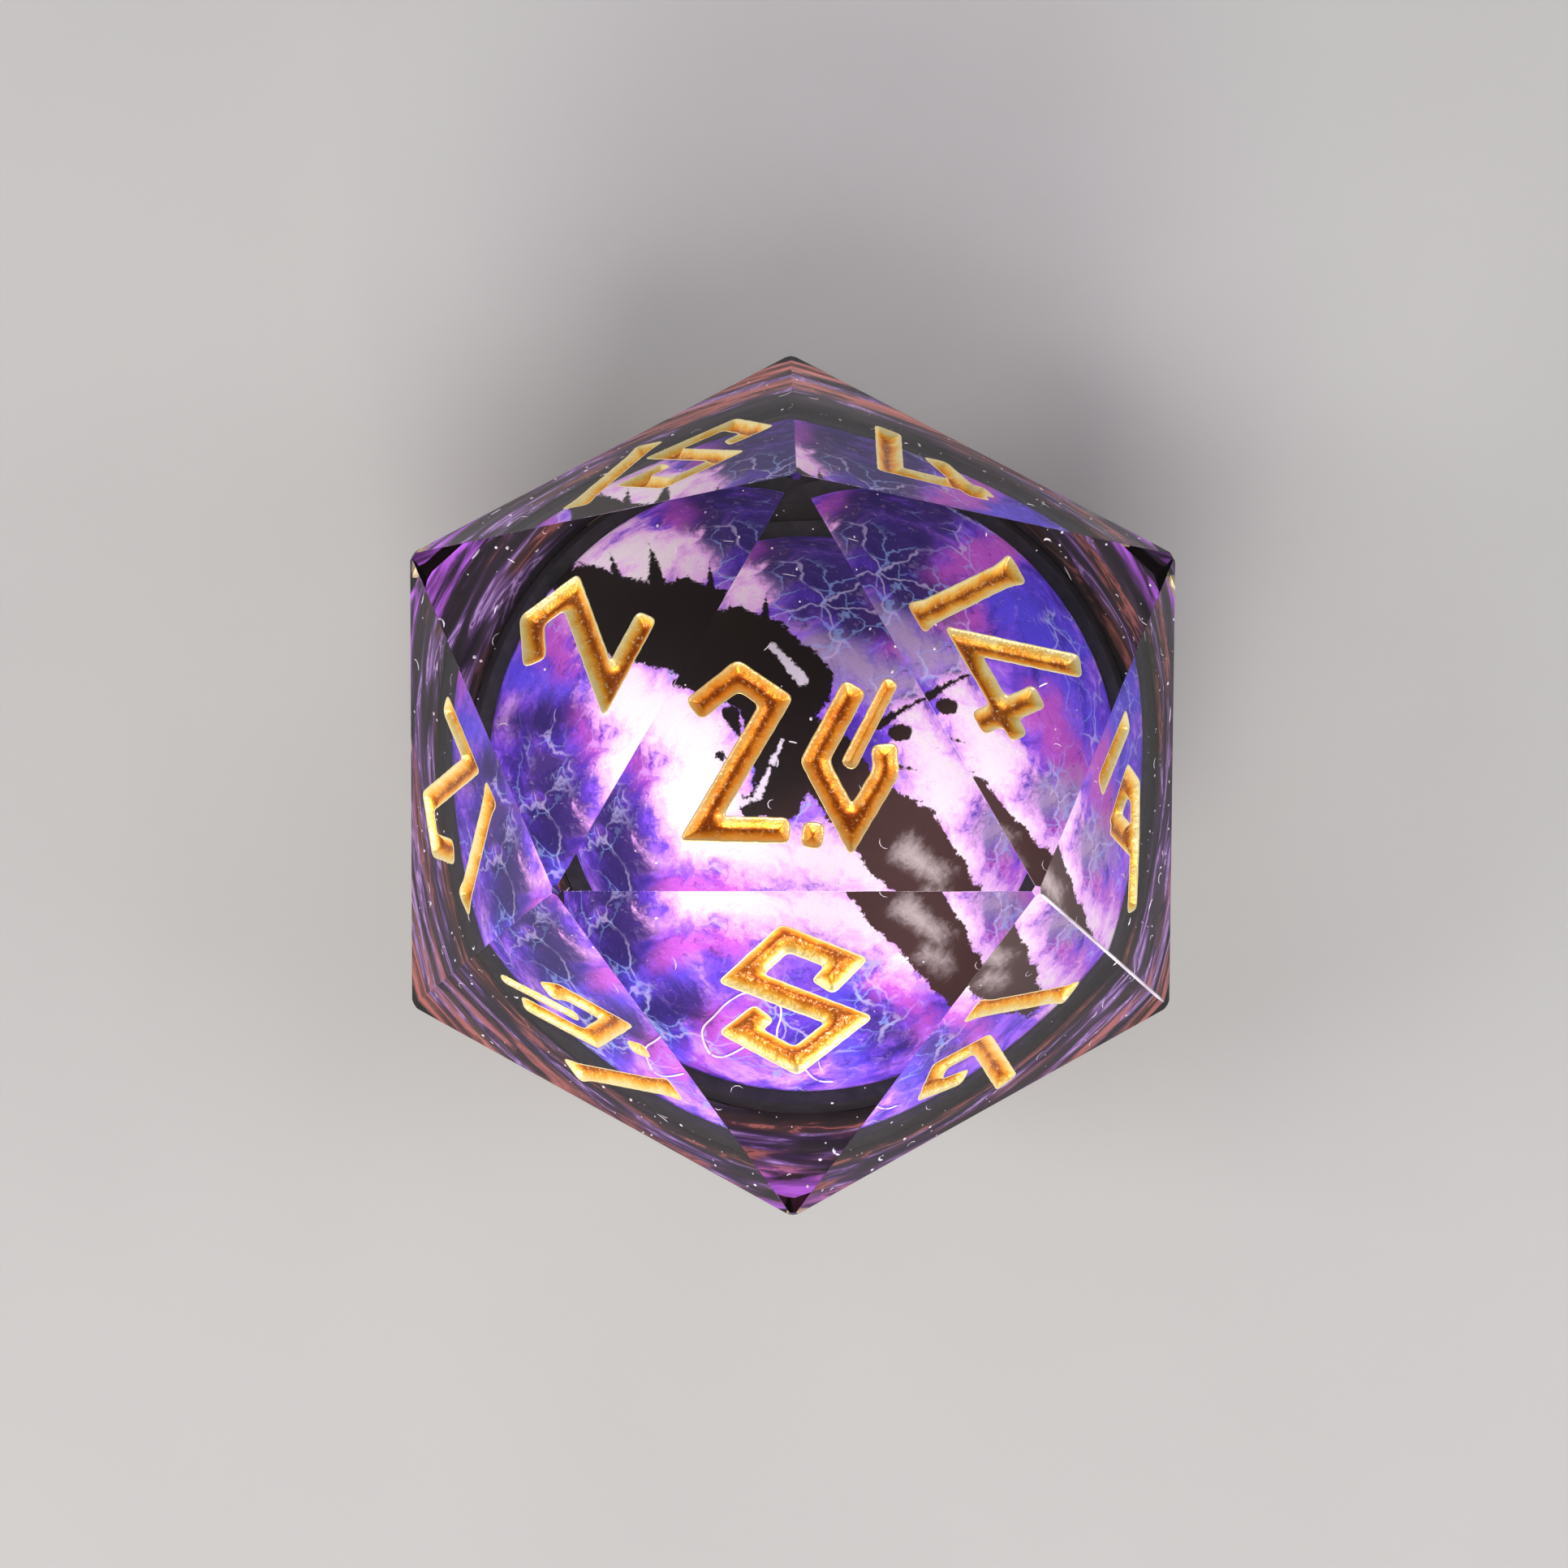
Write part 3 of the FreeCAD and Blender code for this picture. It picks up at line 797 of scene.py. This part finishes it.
def picture_material():
    """A printed storm: violet clouds, a white flash, lightning veins and a ragged dark bank."""
    n = Nodes("printed_picture")
    place = n.scaled(n.position(), 1 / MM)
    colour, fray = storm_clouds(n, place)
    colour = with_lightning(n, place, colour)
    colour = with_flash(n, place, fray, colour)
    colour = with_dark_bank(n, place, fray, colour)
    print_grain = n.noise(place, 24, 2, 0.8).outputs["Fac"]
    colour = n.mixed(n.between(print_grain, 0.3, 0.75, 0.12, 0.26), colour, (0.0, 0.0, 0.0))
    # The print glows a little: painted light that makes it look lit from within.
    paper = n.principled(Base_Color=colour, Roughness=0.6, Specular_IOR_Level=0.15,
                         Emission_Color=colour, Emission_Strength=0.25)
    return n.finish(paper)


def backing_material():
    """Matt charcoal plastic with faint flecks."""
    n = Nodes("dark_backing")
    fleck = n.noise(n.position(), 3000, 3).outputs["Fac"]
    colour = n.ramp(fleck, [(0.4, (0.006, 0.005, 0.007)), (0.7, (0.02, 0.016, 0.022))])
    card = n.principled(Base_Color=colour, Roughness=0.6, Normal=n.bump(fleck, 0.3, 0.00002))
    return n.finish(card)


def glowing_material(name, scale, stops, roughness, glow):
    """Something pale and tiny inside the resin, which glows with painted light."""
    n = Nodes(name)
    colour = n.ramp(n.noise(n.position(), scale, 2).outputs["Fac"], stops)
    return n.finish(n.principled(Base_Color=colour, Roughness=roughness,
                                 Emission_Color=colour, Emission_Strength=glow))


def speck_and_glint_material():
    stops = [(0.35, (0.50, 0.42, 0.48)), (0.65, (0.88, 0.86, 0.90))]
    return glowing_material("dust_and_glint", 400, stops, 0.4, 0.25)


def fibre_material():
    stops = [(0.35, (0.72, 0.55, 0.80)), (0.65, (0.92, 0.84, 0.95))]
    return glowing_material("fibre", 900, stops, 0.45, 0.12)


def floor_material():
    n = Nodes("pale_floor")
    tone = n.noise(n.position(), 60, 3).outputs["Fac"]
    colour = n.ramp(tone, [(0.3, (0.60, 0.595, 0.59)), (0.7, (0.63, 0.625, 0.62))])
    return n.finish(n.principled(Base_Color=colour, Roughness=0.7))


# ---------------------------------------------------------------- pieces

def numeral_outline(loop, plane):
    grooved = grown(without_straight_points(loop), PAINT_RECESS / GROOVE_SLOPE)
    return wandering(divided(rounded_loop(grooved)), plane)


def numeral_planes(resin):
    """Pairs each paint node with the resin face that it lies on."""
    flats = [f for f in resin.faces if f.calc_area() > SMALLEST_FLAT]
    pairs = {}
    for name in sorted(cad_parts):
        if name.startswith("numeral_paint"):
            low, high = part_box(name)
            middle = (low + high) / 2 / MM
            pairs[name] = min(flats, key=lambda f: (f.calc_center_median() - middle).length)
    return pairs


def make_resin_and_paint():
    """The die's whole skin of resin with its grooves, and the paint that lines each groove."""
    shell = beveled_icosahedron(RESIN_INSET)
    gold = gold_material()
    pairs = numeral_planes(shell)
    spent = list(pairs.values())
    for name, face in pairs.items():
        normal = face.normal.copy()
        corners = [v.co.copy() for v in face.verts]
        plane = FacePlane(normal, CENTRE + normal * FACE_TO_FACE / 2)
        loops = [numeral_outline(loop, plane) for loop in cap_outlines(name, plane)]
        flats, triangles, in_numeral, distance = triangulated_face(plane, corners, loops)
        depth = np.where(distance > 0, groove_depth(distance) + PAINT_SKIN * 0.45, 0) + RESIN_INSET
        add_face_to_resin(shell, plane, flats, triangles, depth)
        inked = [t for t, within in zip(triangles, in_numeral) if within]
        piece = new_object(name.replace("numeral_paint", "gold_numeral"),
                           paint_mesh(plane, flats, inked, distance), gold, smooth=True)
        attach(piece, "root")
        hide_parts(name)
    bmesh.ops.delete(shell, geom=spent, context="FACES_ONLY")
    bmesh.ops.remove_doubles(shell, verts=shell.verts, dist=WELD_DISTANCE)
    piece = new_object("resin_casting", shell, resin_material())
    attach(piece, "root")
    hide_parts("upper_casting")


def make_smoke():
    """The tinted first pour: the die's lower part, just inside its polished skin."""
    bm = beveled_icosahedron(SMOKE_INSET)
    cut_and_close(bm, Vector((0, 0, PARTING_HEIGHT - 0.01)), Vector((0, 0, 1)))
    piece = new_object("smoky_lower_pour", bm, smoke_material())
    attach(piece, "root")
    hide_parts("lower_casting")


def face_normals():
    corners = icosahedron_corners()
    edge = (corners[0] - corners[1]).length
    for triple in itertools.combinations(corners, 3):
        if all(abs((p - q).length - edge) < 0.01 for p, q in itertools.combinations(triple, 2)):
            yield ((triple[0] + triple[1] + triple[2]) / 3 - CENTRE).normalized()


def reach_to_skin(start, direction, normals, inset):
    """How far it is from a point inside the die to its skin, less an inset."""
    hits = []
    for normal in normals:
        speed = direction.dot(normal)
        if speed > 1e-6:
            hits.append((FACE_TO_FACE / 2 - inset - (start - CENTRE).dot(normal)) / speed)
    return min(hits)


def make_film():
    """A thin wavy film from the backing disc's rim nearly to the die's skin."""
    normals = list(face_normals())
    middle = Vector((DISC_MIDDLE.x, DISC_MIDDLE.y, PARTING_HEIGHT + FILM_HEIGHT))
    inner = BACKING_REACH + FILM_GAP
    turns, rings = 240, 26
    bm = bmesh.new()
    grid = []
    for i in range(turns):
        angle = math.tau * i / turns
        direction = Vector((math.cos(angle), math.sin(angle), 0))
        outer = reach_to_skin(middle, direction, normals, FILM_INSET)
        row = []
        for j in range(rings + 1):
            share = j / rings
            reach = inner + (outer - inner) * share
            place = middle + direction * reach
            spot = Vector((direction.x * 3, direction.y * 3, reach * 1.4))
            wave = FILM_WAVE * abs(noise.noise(spot))
            row.append(bm.verts.new(place + Vector((0, 0, wave * min(1, 6 * share, 6 * (1 - share))))))
        grid.append(row)
    for i in range(turns):
        after = grid[(i + 1) % turns]
        for j in range(rings):
            bm.faces.new([grid[i][j], grid[i][j + 1], after[j + 1], after[j]])
    piece = new_object("painted_reflection_film", bm, film_material(), smooth=True)
    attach(piece, "root")


def add_tube(bm, points, radius, sides=7):
    """A closed tube of this radius along the points, tapering to its ends."""
    rings = []
    for i, point in enumerate(points):
        along = (points[min(i + 1, len(points) - 1)] - points[max(i - 1, 0)]).normalized()
        across = along.orthogonal().normalized()
        up = along.cross(across)
        taper = min(1.0, 0.35 + i, 0.35 + len(points) - 1 - i)
        ring = []
        for k in range(sides):
            angle = math.tau * k / sides
            outward = across * math.cos(angle) + up * math.sin(angle)
            ring.append(bm.verts.new(point + radius * taper * outward))
        rings.append(ring)
    for first, second in zip(rings, rings[1:]):
        for k in range(sides):
            bm.faces.new([first[k], first[(k + 1) % sides], second[(k + 1) % sides], second[k]])
    bm.faces.new(rings[0][::-1])
    bm.faces.new(rings[-1])


def smooth_path(points, steps):
    """A Catmull-Rom curve through the points."""
    padded = [points[0]] + points + [points[-1]]
    path = []
    for a, b, c, d in zip(padded, padded[1:], padded[2:], padded[3:]):
        for k in range(steps):
            t = k / steps
            path.append(0.5 * (2 * b + (c - a) * t + (2 * a - 5 * b + 4 * c - d) * t * t
                               + (3 * b - a - 3 * c + d) * t ** 3))
    return path + [points[-1]]


def make_hair():
    """A fine fibre that fell in before the second pour, curled against the half-ball beside the 8."""
    bm = bmesh.new()
    add_tube(bm, smooth_path([Vector(point) for point in HAIR], 5), HAIR_RADIUS)
    piece = new_object("trapped_fibre", bm, fibre_material(), smooth=True)
    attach(piece, "root")


def make_bright_edge():
    """A painted glint: a thin pale glowing tube along the edge between the faces marked 16 and 6."""
    corners = icosahedron_corners()
    top, foot = [min(corners, key=lambda p: (p - target).length)
                 for target in (BRIGHT_EDGE_TOP, BRIGHT_EDGE_FOOT)]
    inward = (CENTRE - (top + foot) / 2).normalized() * BRIGHT_EDGE_DEPTH
    steps = 24
    path = [top.lerp(foot, 0.03 + 0.93 * k / steps) + inward for k in range(steps + 1)]
    bm = bmesh.new()
    add_tube(bm, path, BRIGHT_EDGE_RADIUS)
    piece = new_object("painted_edge_glint", bm, speck_and_glint_material(), smooth=True)
    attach(piece, "root")


def add_dome(bm, radius):
    """A half-sphere whose faces look outward. Returns its lowest ring of points and its faces."""
    turns, levels = 160, 44
    rings = []
    for j in range(levels):
        tilt = math.pi / 2 * j / levels
        ring = []
        for i in range(turns):
            angle = math.tau * i / turns
            outward = Vector((math.cos(tilt) * math.cos(angle), math.cos(tilt) * math.sin(angle),
                              math.sin(tilt)))
            ring.append(bm.verts.new(DOME_MIDDLE + radius * outward))
        rings.append(ring)
    top = bm.verts.new(DOME_MIDDLE + Vector((0, 0, radius)))
    made = []
    for lower, upper in zip(rings, rings[1:]):
        for i in range(turns):
            k = (i + 1) % turns
            made.append(bm.faces.new([lower[i], lower[k], upper[k], upper[i]]))
    for i in range(turns):
        made.append(bm.faces.new([rings[-1][i], rings[-1][(i + 1) % turns], top]))
    return rings[0], made


def make_picture():
    """The printed film wrapped over the half-ball: a thin closed shell."""
    bm = bmesh.new()
    outer, _ = add_dome(bm, DOME_RADIUS - RESIN_INSET)
    inner, lining = add_dome(bm, DOME_RADIUS - PRINT_THICKNESS)
    bmesh.ops.reverse_faces(bm, faces=lining)
    for i in range(len(outer)):
        k = (i + 1) % len(outer)
        bm.faces.new([outer[k], outer[i], inner[i], inner[k]])
    piece = new_object("printed_dome", bm, picture_material(), smooth=True)
    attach(piece, "root")
    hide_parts("picture_skin")


def speck_place(random_source, angle, normals):
    """A place for a speck: out in the rim of the die, or close above the half-ball."""
    direction = Vector((math.cos(angle), math.sin(angle), 0))
    if random_source.random() < SPECKS_OVER_DOME:
        tilt = random_source.uniform(0.3, 1.5)
        away = direction * math.cos(tilt) + Vector((0, 0, math.sin(tilt)))
        return DOME_MIDDLE + away * (DOME_RADIUS + random_source.uniform(0.08, 0.8))
    height = PARTING_HEIGHT + 0.3 + random_source.random() ** 2 * 4.0
    start = Vector((DISC_MIDDLE.x, DISC_MIDDLE.y, height))
    inner = BACKING_REACH + SPECK_GAP
    outer = reach_to_skin(start, direction, normals, SPECK_INSET)
    return start + direction * (inner + (outer - inner) * random_source.random() ** 0.8)


def make_specks(random_source):
    """Dust, tiny bubbles and short lint, mostly round the rim of the picture."""
    normals = list(face_normals())
    bm = bmesh.new()
    for _ in range(SPECK_COUNT):
        angle = random_source.uniform(0, math.tau)
        place = speck_place(random_source, angle, normals)
        size = 0.02 + 0.045 * random_source.random() ** 3
        if random_source.random() < LINT_SHARE:
            add_lint(bm, random_source, place, size)
        else:
            stretch = random_source.uniform(0.7, 1.6)
            squash = random_source.uniform(0.6, 1.2)
            turned = Matrix.Translation(place) @ Matrix.Rotation(angle, 4, "Z")
            bmesh.ops.create_icosphere(bm, subdivisions=1, radius=size,
                                       matrix=turned @ Matrix.Diagonal((stretch, 1, squash, 1)))
    piece = new_object("trapped_specks", bm, speck_and_glint_material(), smooth=True)
    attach(piece, "root")


def add_lint(bm, random_source, place, size):
    """A short bent thread."""
    turn = random_source.uniform(0, math.tau)
    length = random_source.uniform(0.12, 0.5)
    bend = random_source.uniform(-0.4, 0.4)
    points = []
    for k in range(5):
        share = k / 4 - 0.5
        angle = turn + bend * share * 4
        points.append(place + Vector((math.cos(angle), math.sin(angle), 0.1)) * length * share)
    add_tube(bm, points, size * 0.55, sides=5)


def dress_backing():
    """The backing disc and the half-ball under the picture keep their CAD shapes."""
    material = backing_material()
    for name in ("backing_disc", "dome_core"):
        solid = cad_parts[name]
        solid.data.materials.clear()
        solid.data.materials.append(material)


# ---------------------------------------------------------------- stage

def make_floor():
    bm = bmesh.new()
    bmesh.ops.create_circle(bm, cap_ends=True, segments=96, radius=FLOOR_RADIUS)
    bmesh.ops.translate(bm, verts=bm.verts, vec=(0, 0, -FLOOR_DROP))
    bmesh.ops.scale(bm, vec=(MM, MM, MM), verts=bm.verts)
    mesh = bpy.data.meshes.new("floor")
    bm.to_mesh(mesh)
    bm.free()
    floor = bpy.data.objects.new("floor", mesh)
    floor.data.materials.append(floor_material())
    bpy.context.scene.collection.objects.link(floor)


def make_lamp(name, place, width, power, colour):
    """A square soft light, aimed at the die."""
    light = bpy.data.lights.new(name, "AREA")
    light.size = width * MM
    light.energy = power
    light.color = colour
    lamp = bpy.data.objects.new(name, light)
    lamp.location = Vector(place) * MM
    lamp.rotation_euler = (CENTRE * MM - lamp.location).to_track_quat("-Z", "Y").to_euler()
    bpy.context.scene.collection.objects.link(lamp)


def make_light():
    world = bpy.data.worlds.new("studio")
    world.use_nodes = True
    background = world.node_tree.nodes["Background"]
    background.inputs["Color"].default_value = (0.95, 0.95, 1.0, 1)
    background.inputs["Strength"].default_value = 0.2
    bpy.context.scene.world = world
    for lamp in LAMPS:
        make_lamp(*lamp)


def make_camera():
    camera = bpy.data.objects.new("camera", bpy.data.cameras.new("camera"))
    camera.data.lens = CAMERA_LENS
    camera.data.clip_start = 0.01
    camera.data.clip_end = 10
    level = math.cos(CAMERA_ELEVATION)
    back = Vector((math.sin(CAMERA_HEADING) * level, -math.cos(CAMERA_HEADING) * level,
                   math.sin(CAMERA_ELEVATION)))
    camera.location = (CAMERA_AIM + back * CAMERA_DISTANCE) * MM
    up = (Vector((0, 1, 0)) - back * back.y).normalized()
    side = up.cross(back)
    camera.rotation_mode = "QUATERNION"
    camera.rotation_quaternion = Matrix((side, up, back)).transposed().to_quaternion()
    bpy.context.scene.collection.objects.link(camera)
    bpy.context.scene.camera = camera


def set_viewing():
    scene = bpy.context.scene
    scene.view_settings.view_transform = "Standard"
    scene.cycles.max_bounces = LIGHT_BOUNCES
    scene.cycles.transmission_bounces = LIGHT_BOUNCES
    scene.cycles.transparent_max_bounces = LIGHT_BOUNCES


make_camera()
make_light()
make_floor()
make_resin_and_paint()
make_smoke()
make_film()
make_hair()
make_specks(random.Random(20))
make_bright_edge()
make_picture()
dress_backing()
set_viewing()
